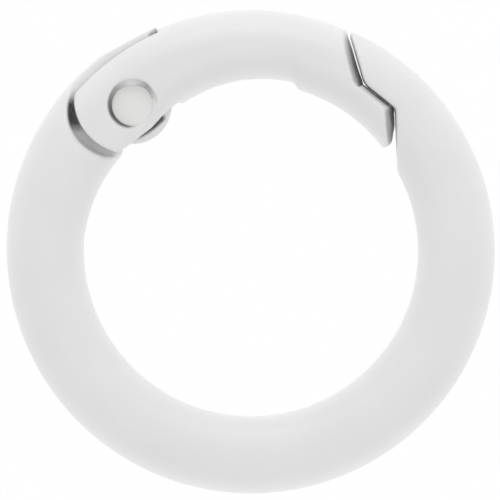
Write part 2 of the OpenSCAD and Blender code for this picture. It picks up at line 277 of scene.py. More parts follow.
class NodeSheet:
    """A short way to lay out the nodes of a material or of the world."""

    def __init__(self, owner: bpy.types.ID, output: str = "ShaderNodeOutputMaterial") -> None:
        """Empties the nodes of a material or the world and adds its output node."""
        owner.use_nodes = True
        self.tree = owner.node_tree
        self.tree.nodes.clear()
        self.output = self.tree.nodes.new(output)

    def add(self, kind: str, links: dict[str | int, object], **settings: object) -> bpy.types.Node:
        """Adds a node.

        Args:
            kind: Blender's name for the node.
            links: For each input, by name or number, a socket to link or a value to set.
            settings: Properties of the node itself.

        Returns:
            The node.
        """
        node = self.tree.nodes.new(kind)
        for key, value in settings.items():
            setattr(node, key, value)
        for key, value in links.items():
            if isinstance(value, Socket):
                self.tree.links.new(value, node.inputs[key])
            else:
                node.inputs[key].default_value = value
        return node

    def noise(
        self, per_mm: float, detail: float = 2.0, roughness: float = 0.5
    ) -> Socket:
        """Noise from 0 to 1 with a number of cells to the millimetre."""
        place = self.add("ShaderNodeTexCoord", {}).outputs["Object"]
        links = {"Vector": place, "Scale": per_mm / MM, "Detail": detail, "Roughness": roughness}
        return self.add("ShaderNodeTexNoise", links).outputs["Fac"]

    def ramp(
        self, value: object, span: Span, to_low: float = 0.0, to_high: float = 1.0
    ) -> Socket:
        """Maps a value from a span to another range, smoothly and without going past it."""
        links = {"Value": value, "From Min": span.low, "From Max": span.high}
        links |= {"To Min": to_low, "To Max": to_high}
        node = self.add("ShaderNodeMapRange", links, interpolation_type="SMOOTHSTEP")
        return node.outputs["Result"]

    def blend(self, share: object, first: object, second: object) -> Socket:
        """Mixes two colours, the node's inputs 6 and 7, by a share of the second."""
        node = self.add("ShaderNodeMix", {0: share, 6: first, 7: second}, data_type="RGBA")
        return node.outputs[2]

    def math(self, operation: str, first: object, second: object) -> Socket:
        """One arithmetic step on two numbers."""
        return self.add("ShaderNodeMath", {0: first, 1: second}, operation=operation).outputs[0]

    def seen(self) -> Socket:
        """1 for what the camera, gloss and glass see, and 0 for what only lights the pieces."""
        path = self.add("ShaderNodeLightPath", {}).outputs
        seen = self.math("MAXIMUM", path["Is Camera Ray"], path["Is Glossy Ray"])
        return self.math("MAXIMUM", seen, path["Is Transmission Ray"])

    def finish(self, shader: bpy.types.Node) -> None:
        """Links the shader to the output."""
        self.tree.links.new(shader.outputs[0], self.output.inputs["Surface"])


@dataclass(frozen=True)
class SprayPaint:
    """Satin spray paint over cast zinc, which shows where the spray didn't reach, and black painted
    shade.

    The point attribute that it reads runs from 0, painted, over 0.5, plain casting, to 1, black
    painted shade.

    Attributes:
        name: Name of the material.
        colour: Colour of the paint, linear.
        zinc: Colour of the unpainted casting.
        pit: Colour of its pits.
        deep_shade: Black painted as shade in the deepest cuts and gaps.
        roughness: Roughness of the paint and of the casting.
        metallic: How metallic the casting looks under its haze.
        cloud_per_mm: Cells of the paint's broad clouds to the millimetre.
        cloud_span: Noise from their darkest to their brightest parts.
        cloud_shade: Brightness of the darkest.
        peel_per_mm: Cells of the paint's fine unevenness.
        peel_depth: How strong that is, in metres.
        grain_per_mm: Cells of the casting's grain.
        pit_span: Grain from a pit to plain zinc.
        fray: How far the grain frays the paint's edges.
        fray_span: Bareness over which that sets in.
        zinc_span: Bareness from paint to plain casting.
        deep_shade_span: Bareness from plain casting to full painted shade.
        dust: Amount and roughness of the dry spray that lightens the paint at a slant.
        ior: The paint's index of refraction.
    """

    name: str
    colour: Rgb = (0.80, 0.80, 0.798)
    zinc: Rgb = (0.50, 0.50, 0.495)
    pit: Rgb = (0.30, 0.30, 0.297)
    deep_shade: Rgb = (0.05, 0.05, 0.05)
    roughness: Pair = (0.42, 0.52)
    metallic: float = 0.2
    cloud_per_mm: float = 0.35
    cloud_span: Span = Span(0.3, 0.7)
    cloud_shade: float = 0.98
    peel_per_mm: float = 3.2
    peel_depth: float = 0.000006
    grain_per_mm: float = 11.0
    pit_span: Span = Span(0.35, 0.62)
    fray: float = 0.7
    fray_span: Span = Span(0.02, 0.25)
    zinc_span: Span = Span(0.05, 0.5)
    deep_shade_span: Span = Span(0.5, 1.0)
    dust: Pair = (0.3, 0.5)
    ior: float = 1.46

    def build(self) -> Material:
        """Makes the material.

        Returns:
            The material.
        """
        material = bpy.data.materials.new(self.name)
        sheet = NodeSheet(material)
        shade = sheet.ramp(sheet.noise(self.cloud_per_mm), self.cloud_span, self.cloud_shade, 1.0)
        tint = {0: self.colour, "Scale": shade}
        paint = sheet.add("ShaderNodeVectorMath", tint, operation="SCALE").outputs[0]
        grain = sheet.noise(self.grain_per_mm, detail=4.0, roughness=0.65)
        pits = sheet.ramp(grain, self.pit_span)
        metal = sheet.blend(pits, (*self.pit, 1.0), (*self.zinc, 1.0))
        # Mask per point: up to 0.5 the unpainted casting, above that painted shade.
        bare_and_shade = sheet.add("ShaderNodeAttribute", {}, attribute_name="bare_and_shade").outputs["Fac"]
        frayed = sheet.math("MULTIPLY", sheet.math("SUBTRACT", grain, 0.5), self.fray)
        frayed = sheet.math("MULTIPLY", frayed, sheet.ramp(bare_and_shade, self.fray_span))
        level = sheet.math("ADD", bare_and_shade, frayed)
        share = sheet.ramp(level, self.zinc_span)
        dressed = sheet.blend(share, paint, metal)
        # Blends to black where the mask is highest: painted shade in the deepest cuts and gaps.
        colour = sheet.blend(sheet.ramp(level, self.deep_shade_span), dressed, (*self.deep_shade, 1.0))
        rough = sheet.math("MULTIPLY", grain, share)
        height = sheet.math("ADD", sheet.noise(self.peel_per_mm), rough)
        relief = {"Height": height, "Distance": self.peel_depth, "Strength": 1.0}
        inputs = {
            "Base Color": colour,
            "Roughness": sheet.ramp(share, WHOLE, *self.roughness),
            "Metallic": sheet.math("MULTIPLY", share, self.metallic),
            "Sheen Weight": self.dust[0],
            "Sheen Roughness": self.dust[1],
            "Normal": sheet.add("ShaderNodeBump", relief).outputs[0],
            "IOR": self.ior,
        }
        sheet.finish(sheet.add("ShaderNodeBsdfPrincipled", inputs))
        return material


@dataclass(frozen=True)
class SpringWire:
    """Drawn steel wire with fine lines round it.

    Attributes:
        name: Name of the material.
        colour: Colour of the steel, linear.
        dark: Colour of its drawn lines.
        lines_per_mm: Cells of those lines to the millimetre.
        line_span: Noise from a line to plain steel.
        gloss_span: Noise from the smoothest to the roughest place.
        roughness: Roughness of the two.
    """

    name: str = "spring_wire"
    colour: Rgb = (0.52, 0.52, 0.53)
    dark: Rgb = (0.34, 0.34, 0.35)
    lines_per_mm: float = 22.0
    line_span: Span = Span(0.35, 0.7)
    gloss_span: Span = Span(0.3, 0.7)
    roughness: Pair = (0.24, 0.38)

    def build(self) -> Material:
        """Makes the material.

        Returns:
            The material.
        """
        material = bpy.data.materials.new(self.name)
        sheet = NodeSheet(material)
        lines = sheet.noise(self.lines_per_mm, detail=3.0)
        share = sheet.ramp(lines, self.line_span)
        inputs = {
            "Base Color": sheet.blend(share, (*self.dark, 1.0), (*self.colour, 1.0)),
            "Roughness": sheet.ramp(lines, self.gloss_span, *self.roughness),
            "Metallic": 1.0,
        }
        sheet.finish(sheet.add("ShaderNodeBsdfPrincipled", inputs))
        return material


# ---- Sub-assemblies ----


@dataclass
class Hinge:
    """The hinge that the pieces share, read from the frame.

    Attributes:
        pin: The hinge axis in plan.
        middle: Height of the middle plane.
        heel: Centre of the gate's round heel in plan.
        angle: Direction of the hinge from the ring's centre.
        heel_r: Radius of the gate's round heel.
        gate_r: Radius of the gate's outer edge, about a centre a little above the ring's.
        gate_bow: How far that centre is shifted in Y.
        waist: Centre of the arm's inner edge.
        waist_r: Radius of that edge.
        cheek_edge: Distance from the pin to the cheeks' straight inner edge.
        cheek_edge_angle: Direction square to that edge.
        slot_angle: Direction in which the end of the gate's slot faces the pin.
        slot_end: Distance from the pin to that end.
        heel_out: How far the heel's centre lies beyond the pin.
        heel_aside: How far it lies clockwise of the pin.
    """

    pin: Array
    middle: float
    heel: Array
    angle: float
    heel_r: float = 2.79
    gate_r: float = 11.83
    gate_bow: float = 0.13
    waist: Pair = (0.5535, 1.5544)
    waist_r: float = 6.955
    cheek_edge: float = 1.48
    cheek_edge_angle: float = 126.3
    slot_angle: float = 17.5
    slot_end: float = 2.29
    heel_out: float = 0.374
    heel_aside: float = 0.106

    @classmethod
    def from_frame(cls, frame: dict) -> "Hinge":
        """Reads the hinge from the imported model.


        Returns:
            The hinge.
        """
        place = np.array(frame["joints"][0]["pos_m"]) / MM
        pin = place[:2]
        angle = math.degrees(math.atan2(pin[1], pin[0]))
        heel = polar(cls.heel_aside, angle - 90.0, polar(cls.heel_out, angle, pin))
        return cls(pin=pin, middle=float(place[2]), heel=heel, angle=angle)

    def past_cheek(self, points: Array) -> tuple[Array, Array]:
        """How far each point lies past the cheeks' straight edge, and how far along it.

        Args:
            points: Positions, one row each.

        Returns:
            Distances past the edge, and distances along it.
        """
        offset = points[:, :2] - self.pin
        past = -(offset @ polar(1.0, self.cheek_edge_angle)) - self.cheek_edge
        return past, offset @ polar(1.0, self.cheek_edge_angle - 90.0)

    def inside_arm(self, points: Array) -> Array:
        """How far each point lies outside the arc of the arm's inner edge."""
        return seen_from(self.waist, points)[0] - self.waist_r

    def under_gate(self, points: Array) -> Array:
        """How far each point lies inside the gate's outline in plan; negative outside it.

        The outline is the outer edge's arc, the arm's inner edge and the cheeks' straight
        edge; past the line from the ring's centre through the heel's centre it is the heel's
        circle as well.

        Args:
            points: Positions, one row each.

        Returns:
            One distance for each point.
        """
        x, y = points[:, 0], points[:, 1]
        inside = np.minimum(self.gate_r - np.hypot(x, y - self.gate_bow), self.inside_arm(points))
        inside = np.minimum(inside, -self.past_cheek(points)[0])
        heel = self.heel_r - seen_from(self.heel, points)[0]
        past = self.heel[0] * y - self.heel[1] * x > 0.0
        return np.where(past, np.minimum(inside, heel), inside)


@dataclass
class PaintedCasting:
    """A zinc casting with the soft edges that paint gives it, made over its CAD solid.

    The solid's mesh is merged, turned into an even grid of faces and relaxed, so that its
    edges become rounds about as wide as a coat of paint makes them.

    Attributes:
        node: The CAD node that it stands for.
        body: The body that it rides on.
        slot: The record's material slot; not used.
        hinge: The hinge.
        voxel: Size of the even faces, in millimetres.
        weld: Distance at which points of the solid's mesh are merged.
        evening: How many passes take out ripples without shrinking.
        evening_push: Share of the way back in each of those passes.
        rounding: How many passes round the edges.
    """

    node: str
    body: str
    slot: Slot
    hinge: Hinge
    voxel: float
    weld: float = 0.0005
    evening: int = 8
    evening_push: float = 0.53
    rounding: int = 5

    def even_mesh(self, frame: dict) -> tuple[Object, Array, Array]:
        """Makes the even mesh and relaxes it.


        Returns:
            The object, its points in millimetres from the middle plane, and its edges.
        """
        obj = bpy.data.objects.new(f"{self.node}_painted", frame["nodes"][self.node].data.copy())
        bpy.context.scene.collection.objects.link(obj)
        obj.data.materials.clear()
        points, _ = mesh_arrays(obj.data)
        obj.data.vertices.foreach_set("co", (points / MM).astype(np.float32).ravel())
        weld = obj.modifiers.new("weld", "WELD")
        weld.merge_threshold = self.weld
        even = obj.modifiers.new("even", "REMESH")
        even.mode = "VOXEL"
        even.voxel_size = self.voxel
        even.use_smooth_shade = True
        evaluated = obj.evaluated_get(bpy.context.evaluated_depsgraph_get())
        mesh = bpy.data.meshes.new_from_object(evaluated)
        obj.modifiers.clear()
        obj.data = mesh
        points, edges = mesh_arrays(mesh)
        points = relax(points, edges, self.evening, self.evening_push)
        points = relax(points, edges, self.rounding)
        points[:, 2] -= self.hinge.middle
        return obj, points, edges

    def store(self, obj: Object, points: Array) -> None:
        """Writes points in millimetres from the middle plane back into the mesh, in metres."""
        placed = (points + np.array([0.0, 0.0, self.hinge.middle])) * MM
        obj.data.vertices.foreach_set("co", placed.astype(np.float32).ravel())
        obj.data.update()

    def shape(self, points: Array, edges: Array) -> Array:
        """Moves points where the paint changes the form; a plain casting stays as it is."""
        return points

    def bare_and_shade(self, points: Array) -> Array:
        """How far each point shows the unpainted casting, from 0 to 1; above 0.5 it is painted
        shade.
        """
        return np.zeros(len(points))

    def build(self, frame: dict, paint: Material) -> Object:
        """Makes the painted piece and lets it stand for its CAD node.

        Args:
            paint: Its finish.

        Returns:
            The piece.
        """
        obj, points, edges = self.even_mesh(frame)
        points = self.shape(points, edges)
        self.store(obj, points)
        # Mask for the paint: unpainted casting, and above 0.5 painted shade.
        add_field(obj, "bare_and_shade", self.bare_and_shade(points))
        obj.data.materials.append(paint)
        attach(obj, self.body)
        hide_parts(self.node)
        LOG.info("%s: %d faces", obj.name, len(obj.data.polygons))
        return obj


@dataclass(frozen=True)
class TongueMarks:
    """The tongue's marks: unpainted under the gate, painted shade in a lens by the cheeks' edge and
    on its tip.

    Attributes:
        covered: Distances inside the gate's outline over which it is.
        lens: Distances past the cheeks' edge over which the lens of painted shade sets in.
        lens_fade: How far inside and outside its width it fades.
        lens_size: The lens's width in the middle and half its length.
        lens_middle: How far along the cheeks' edge its middle is.
        lens_close: Widths over which it closes at its two points.
        tip: Distances across the tip over which it darkens towards the slot's end: painted shade
            over partly unpainted zinc.
        tip_heading: Direction of those.
        tip_place: Where the tip is in plan.
        tip_reach: Distances from there over which the mark ends.
    """

    covered: Span = Span(0.3, 0.6, 0.5)
    lens: Span = Span(-0.4, -0.2, 0.9)
    lens_fade: Pair = (0.07, 0.08)
    lens_size: Pair = (0.12, 0.98)
    lens_middle: float = 0.09
    lens_close: Span = Span(0.0, 0.06)
    tip: Span = Span(-0.25, 0.2, 0.8)
    tip_heading: float = -50.0
    tip_place: Pair = (-4.87, 10.9)
    tip_reach: Span = Span(0.3, 0.45)

    def bare_and_shade(self, points: Array, hinge: Hinge) -> Array:
        """The mask of each point: the most of the three marks.

        The lens's width falls with the square of the distance along the edge.

        Args:
            points: Positions, one row each.
            hinge: The hinge.

        Returns:
            One value for each point, from 0 to 1.
        """
        covered = self.covered.rise(hinge.under_gate(points))
        past, along = hinge.past_cheek(points)
        middle_w, half = self.lens_size
        width = middle_w * np.clip(1.0 - ((along - self.lens_middle) / half) ** 2, 0.0, None)
        inner, outer = self.lens_fade
        # Lens of painted shade in the gap under the cheeks' edge, over partly unpainted zinc.
        lens = self.lens.rise(past) * self.lens_close.rise(width)
        lens *= 1.0 - smoothstep(past, width - inner, width + outer)
        # Painted shade on the tip, darker towards the end of the slot.
        toward_slot_end = (points[:, :2] - np.array(self.tip_place)) @ polar(1.0, self.tip_heading)
        tip = self.tip.rise(toward_slot_end) * self.tip_reach.fall(seen_from(self.tip_place, points)[0])
        return np.maximum(np.maximum(covered, lens), tip)


@dataclass(frozen=True)
class SocketMarks:
    """Painted shade in the socket over unpainted zinc; directions and distances are from the heel's
    centre.

    Attributes:
        start: Directions over which the painted shade sets in.
        end: Directions over which it ends.
        thinner: Directions over which most of that painted shade fades.
        spared_turn: Directions over which the socket's outer part is left painted white, without
            that shade.
        spared_reach: Distances over which it does.
    """

    start: Span = Span(176.0, 187.0, 0.89)
    end: Span = Span(232.0, 250.0)
    thinner: Span = Span(203.0, 218.0, 0.84)
    spared_turn: Span = Span(200.0, 215.0)
    spared_reach: Span = Span(3.0, 3.3)

    def bare_and_shade(self, from_heel: Array, turn: Array, cut: Array) -> Array:
        """How dark each point is: the painted shade times the depth of the cut, less what is
        spared.

        Args:
            from_heel: Distance of each point from the heel's centre.
            turn: Its direction.
            cut: Its share of a full cut.

        Returns:
            One value for each point, from 0 to 1.
        """
        # Painted shade in the socket's gap between the heel and its wall.
        deep_shade = self.start.rise(turn) * self.thinner.fall(turn) * self.end.fall(turn)
        spared = self.spared_turn.rise(turn) * self.spared_reach.rise(from_heel)
        return cut * deep_shade * (1.0 - spared)


@dataclass
class RingCasting(PaintedCasting):
    """The ring with its hook, its socket and the tongue that carries the hinge.

    Attributes:
        bar_r: Radius of the round bar.
        centreline_r: Radius of the bar's centreline.
        tongue_h: Half the tongue's thickness.
        tongue_r: Radius of the tongue's round end.
        skin: How far over the tongue's faces a point still belongs to it.
        rim_turn: Directions round the heel over which the socket's rim becomes softer.
        rim_end: Direction in which that ends.
        rim_reach: Distances from the heel's centre over which it ends.
        rim_foot: Height over the middle plane at which it starts.
        rim_passes: How many passes soften it.
        nose_side: The tongue's nose, as distances to the side of the pin.
        nose_push: How far the nose is pushed towards the end of the slot.
        nose_gap: Gap that it keeps there.
        nose_ease: Length over which the push sets in.
        cut: Depths below the round bar from a scratch to a full cut.
        cut_bare: How far a full cut shows the unpainted casting.
        socket_turn: First and last direction of the socket round the heel.
        socket_foot: How far inside and outside the heel's radius its marks set in.
        tongue_marks: Where the tongue is unpainted, and where it has painted shade.
        socket_marks: Where the socket has painted shade over unpainted zinc.
    """

    bar_r: float = 1.95
    centreline_r: float = 10.3
    tongue_h: float = 0.7
    tongue_r: float = 1.95
    skin: float = 0.08
    rim_turn: Span = Span(168.0, 182.0)
    rim_end: float = 265.0
    rim_reach: Span = Span(3.6, 4.2)
    rim_foot: float = 0.95
    rim_passes: int = 16
    nose_side: Pair = (1.9, 4.2)
    nose_push: float = 0.11
    nose_gap: float = 0.015
    nose_ease: float = 0.15
    cut: Span = Span(0.06, 0.5)
    cut_bare: float = 0.35
    socket_turn: Pair = (160.0, 260.0)
    socket_foot: Pair = (0.3, 0.1)
    tongue_marks: TongueMarks = TongueMarks()
    socket_marks: SocketMarks = SocketMarks()

    def shape(self, points: Array, edges: Array) -> Array:
        """Rounds the socket's rim, and keeps the tongue's tip close to the end of the slot.

        Args:
            points: Positions, one row each.
            edges: Pairs of point numbers.

        Returns:
            The new positions.
        """
        hinge = self.hinge
        from_heel, turn = seen_from(hinge.heel, points)
        rim = self.rim_turn.rise(turn) * self.rim_reach.fall(from_heel)
        rim *= (turn < self.rim_end) & (from_heel > hinge.heel_r)
        rim *= np.abs(points[:, 2]) > self.rim_foot
        points = soften(points, edges, rim, self.rim_passes)
        onward = polar(1.0, hinge.slot_angle)
        u = (points[:, :2] - hinge.pin) @ onward
        v = (points[:, :2] - hinge.pin) @ polar(1.0, hinge.slot_angle + 90.0)
        nose = (u > self.tongue_r) & (u < hinge.slot_end)
        nose &= (v > self.nose_side[0]) & (v < self.nose_side[1])
        reach = np.minimum(u + self.nose_push, hinge.slot_end - self.nose_gap) - u
        reach *= nose * smoothstep(u, self.tongue_r, self.tongue_r + self.nose_ease)
        points[:, :2] += np.clip(reach, 0.0, None)[:, None] * onward
        return points

    def bare_and_shade(self, points: Array) -> Array:
        """The spray reached a little way into each cut; the socket and the tongue's marks add
        painted shade.

        The depth under the bar's round surface is its radius less the distance to the
        centreline.

        Args:
            points: Positions, one row each.

        Returns:
            One value for each point, from 0 to 1.
        """
        x, y, z = points.T
        depth = self.bar_r - np.hypot(np.hypot(x, y) - self.centreline_r, z)
        cut = self.cut.rise(depth)
        on_tongue = (np.abs(z) < self.tongue_h + self.skin) & (x < 0.0) & (y > 0.0)
        tongue = self.tongue_marks.bare_and_shade(points, self.hinge)
        values = np.where(on_tongue, tongue, self.cut_bare * cut)
        from_heel, turn = seen_from(self.hinge.heel, points)
        inner, outer = self.socket_foot
        in_socket = smoothstep(from_heel, self.hinge.heel_r - inner, self.hinge.heel_r + outer)
        in_socket *= (turn > self.socket_turn[0]) & (turn < self.socket_turn[1])
        # In the socket the mask is painted shade in its gap, over unpainted zinc.
        return values + in_socket * (self.socket_marks.bare_and_shade(from_heel, turn, cut) - values)


@dataclass(frozen=True)
class DraftedFace:
    """One of the gate's end faces, which slope back from a ridge at the middle plane.

    Attributes:
        start: A point of the ridge in plan, in millimetres.
        heading: Direction of the ridge; the gate is on its left.
        length: Length of the ridge.
        slope: Slope of the face from the Z axis.
        coat: Thickness of the paint at the start of the ridge.
        coat_taper: How much thinner it gets for each millimetre.
        build_up: Length over which it builds up from nothing at the start.
        edge_depth: Depth below the gate's round surface at which its rounded edge ends.
    """

    start: Pair
    heading: float
    length: float
    slope: float
    coat: float
    coat_taper: float
    build_up: float
    edge_depth: float

    @property
    def outward(self) -> Array:
        """Direction square to the ridge, away from the gate."""
        return polar(1.0, self.heading - 90.0)

    def locate(self, points: Array) -> tuple[Array, Array]:
        """How far each point lies along the ridge, and how far outside the painted face.

        Args:
            points: Positions, one row each.

        Returns:
            Distances along the ridge, and distances square to it.
        """
        offset = points[:, :2] - np.array(self.start)
        along = offset @ polar(1.0, self.heading)
        outside = offset @ self.outward
        coat = np.clip(self.coat - self.coat_taper * along, 0.0, None)
        coat *= smoothstep(along, -0.01, self.build_up)
        return along, outside - coat + np.abs(points[:, 2]) * math.tan(math.radians(self.slope))


@dataclass(frozen=True)
class Step:
    """A step in the gate's inner edge, which the paint softens.

    Attributes:
        middle: Its middle in plan.
        half_y: Half its length along Y.
        reach: Distances from it over which the softening ends.
    """

    middle: Pair
    half_y: float
    reach: Span

    def near(self, points: Array) -> Array:
        """How strongly each point is softened, from 0 to 1."""
        x, y = (points[:, :2] - np.array(self.middle)).T
        return self.reach.fall(np.hypot(x, np.clip(np.abs(y) - self.half_y, 0.0, None)))


@dataclass(frozen=True)
class PaintedRecess:
    """The recess round the rivet's head, where the paint left an uneven groove open.

    Attributes:
        head_r: Radius of the rivet's head.
        wall_r: Radius of the recess.
        foot: Height over the middle plane from which its points are lifted.
        rim_foot: Height from which its rim is softened.
        rim_w: How far inside and outside the wall the rim reaches.
        directions: Directions round the pin, for the three rows below.
        groove_w: Width of the groove.
        filled: How full of paint it is.
        dark: How dark its bottom is: painted shade over unpainted zinc.
        groove_edge: How far inside and outside its edge the paint rises.
        sunk: How far the paint lies under the gate's own face.
        deep: Depths below that face over which that painted shade sets in.
    """

    head_r: float = 1.055
    wall_r: float = 1.295
    foot: float = 1.0
    rim_foot: float = 1.3
    rim_w: Pair = (0.1, 0.3)
    directions: Row = (0.0, 20.0, 55.0, 95.0, 150.0, 200.0, 250.0, 280.0, 312.0, 360.0)
    groove_w: Row = (0.1, 0.17, 0.22, 0.3, 0.2, 0.19, 0.15, 0.12, 0.0, 0.1)
    filled: Row = (0.7, 0.4, 0.3, 0.5, 0.2, 0.0, 0.1, 0.3, 1.0, 0.7)
    dark: Row = (0.1, 0.4, 0.5, 0.2, 0.6, 0.7, 0.6, 0.5, 0.0, 0.1)
    groove_edge: Pair = (0.03, 0.04)
    sunk: float = 0.02
    deep: Span = Span(0.15, 0.5)

    def rim(self, radius: Array, z: Array) -> Array:
        """Which points belong to the rim."""
        inner, outer = self.rim_w
        near = (radius > self.wall_r - inner) & (radius < self.wall_r + outer)
        return near & (np.abs(z) > self.rim_foot)

    def inside(self, radius: Array, z: Array, voxel: float) -> Array:
        """Which points the paint may lift: those beside the head, up to a voxel past the wall."""
        beside = (radius > 0.9 * self.head_r) & (radius < self.wall_r + voxel)
        return beside & (np.abs(z) > self.foot)

    def lift(self, radius: Array, turn: Array) -> Array:
        """Share of the way to the gate's own face that the paint reaches at each point.

        Args:
            radius: Distance of each point from the pin.
            turn: Its direction.

        Returns:
            One share for each point.
        """
        groove = self.head_r + np.interp(turn, self.directions, self.groove_w)
        inner, outer = self.groove_edge
        edge = smoothstep(radius, groove - inner, groove + outer)
        return np.maximum(np.interp(turn, self.directions, self.filled), edge)

    def bare_and_shade(self, turn: Array, depth: Array) -> Array:
        """Painted shade over unpainted zinc in the groove, from each point's direction and its
        depth.
        """
        # Painted shade in the groove round the rivet's head, set by direction.
        return np.interp(turn, self.directions, self.dark) * self.deep.rise(depth)


@dataclass
class GateCasting(PaintedCasting):
    """The gate with its lip at the mouth and its two cheeks at the hinge.

    Attributes:
        half_t: Half its thickness.
        edge_w: Half the width of the rounded edges of its section.
        edge_cap: Share of edge_w up to which its rounded face is followed.
        lip_r: Radius of the lip's inner edge.
        lip_step: The step behind the lip.
        heel_step: The corner where the arm's inner edge meets the cheeks.
        step_passes: How many passes soften the two.
        rim_passes: How many passes soften the rims of the end faces and the recesses.
        rim_shares: How strongly the end faces and the recesses take part.
        faces: The end faces: above the lip, the lip's top and the lip's end.
        face_reach: How far to both sides of a face its rims are softened.
        face_ends: How far past its two ends.
        hold_start: Distances along a face over which it starts to hold its points.
        hold_end: How far before and after its far end it lets them go.
        hold_depth: Depth over which it does so towards its rounded edge.
        hold_reach: How far from the face a point may be.
        recess: The recess round the rivet's head.
        recess_passes: How many passes smooth its painted wall.
        recess_share: How strongly its points take part.
        middle_bare: Depths over which the end faces and the slot become unpainted.
    """

    half_t: float = 1.9
    edge_w: float = 1.62
    edge_cap: float = 0.98
    lip_r: float = 8.305
    lip_step: Step = Step((2.24, 9.0), 1.0, Span(0.4, 0.9))
    heel_step: Step = Step((-3.55, 7.3), 0.0, Span(0.45, 0.9))
    step_passes: int = 24
    rim_passes: int = 9
    rim_shares: Pair = (0.7, 0.8)
    faces: tuple[DraftedFace, ...] = (
        DraftedFace((5.583, 8.228), 106.5, 3.2, 13.0, 0.045, 0.055, 0.0, 0.3),
        DraftedFace((7.096, 7.02), 141.4, 1.93, 4.0, 0.026, 0.0, 0.0, 0.03),
        DraftedFace((7.096, 5.65), 90.0, 1.37, 13.0, 0.107, 0.042, 0.6, 0.3),
    )
    face_reach: float = 0.4
    face_ends: float = 0.3
    hold_start: Span = Span(-0.1, 0.05)
    hold_end: Pair = (0.05, 0.1)
    hold_depth: float = 0.4
    hold_reach: float = 0.25
    recess: PaintedRecess = PaintedRecess()
    recess_passes: int = 3
    recess_share: float = 0.9
    middle_bare: Span = Span(0.3, 1.1, 0.3)

    def inwards(self, points: Array) -> Array:
        """How far each point lies towards the nearer edge: 0 on the flat, 1 at the edge.

        Args:
            points: Positions, one row each.

        Returns:
            One share for each point.
        """
        x, y = points[:, 0], points[:, 1]
        outer = self.hinge.gate_r - np.hypot(x, y - self.hinge.gate_bow)
        behind_lip = x <= self.lip_step.middle[0]
        inner = np.where(behind_lip, self.hinge.inside_arm(points), np.hypot(x, y) - self.lip_r)
        return np.clip(1.0 - np.minimum(outer, inner) / self.edge_w, 0.0, None)

    def depth(self, points: Array) -> Array:
        """How deep each point lies inside the gate's rounded section.

        That is the width of the section's edges times one less the radius in their ellipse.
        """
        return self.edge_w * (1.0 - np.hypot(self.inwards(points), points[:, 2] / self.half_t))

    def by_mouth(self, points: Array) -> Array:
        """Which points lie close to one of the end faces.

        Args:
            points: Positions, one row each.

        Returns:
            0 or 1 for each point.
        """
        near = np.zeros(len(points))
        for face in self.faces:
            along, outside = face.locate(points)
            beside = (along > -self.face_ends) & (along < face.length + self.face_ends)
            near = np.maximum(near, (np.abs(outside) < self.face_reach) & beside)
        return near

    def press_faces(self, points: Array) -> Array:
        """Moves the points of each end face square to its ridge, onto the painted face.

        Args:
            points: Positions, one row each, which are changed in place.

        Returns:
            The same array.
        """
        depth = self.depth(points)
        before, after = self.hold_end
        for face in self.faces:
            along, outside = face.locate(points)
            within = smoothstep(depth, face.edge_depth, face.edge_depth + self.hold_depth)
            ending = smoothstep(along, face.length - before, face.length + after)
            held = self.hold_start.rise(along) * (1.0 - ending)
            held *= within * (np.abs(outside) < self.hold_reach)
            points[:, :2] -= (held * outside)[:, None] * face.outward
        return points

    def shape(self, points: Array, edges: Array) -> Array:
        """Rounds steps and rims, sharpens the end faces' ridges and fills the recesses.

        Points inside a recess are lifted towards the gate's own rounded face by the share of
        their direction, and their wall is smoothed.

        Args:
            points: Positions, one row each.
            edges: Pairs of point numbers.

        Returns:
            The new positions.
        """
        radius, turn = seen_from(self.hinge.pin, points)
        rim = self.recess.rim(radius, points[:, 2])
        inside = self.recess.inside(radius, points[:, 2], self.voxel)
        steps = np.maximum(self.lip_step.near(points), self.heel_step.near(points))
        points = soften(points, edges, steps, self.step_passes)
        mouth_share, recess_share = self.rim_shares
        share = np.maximum(mouth_share * self.by_mouth(points), recess_share * rim)
        points = self.press_faces(soften(points, edges, share, self.rim_passes))
        flat = np.sqrt(1.0 - np.clip(self.inwards(points), 0.0, self.edge_cap) ** 2)
        level = np.sign(points[:, 2]) * (self.half_t * flat - self.recess.sunk)
        points[:, 2] += inside * self.recess.lift(radius, turn) * (level - points[:, 2])
        return soften(points, edges, self.recess_share * inside, self.recess_passes)

    def bare_and_shade(self, points: Array) -> Array:
        """The spray reached over the edges of the end faces and the slot, not to their middle;
        round the rivet's head the groove has painted shade.

        Args:
            points: Positions, one row each.

        Returns:
            One value for each point, from 0 to 1.
        """
        depth = self.depth(points)
        radius, turn = seen_from(self.hinge.pin, points)
        in_recess = radius < self.recess.wall_r + 2.0 * self.voxel
        # Round the rivet's head the mask is the groove's painted shade.
        return np.where(in_recess, self.recess.bare_and_shade(turn, depth), self.middle_bare.rise(depth))


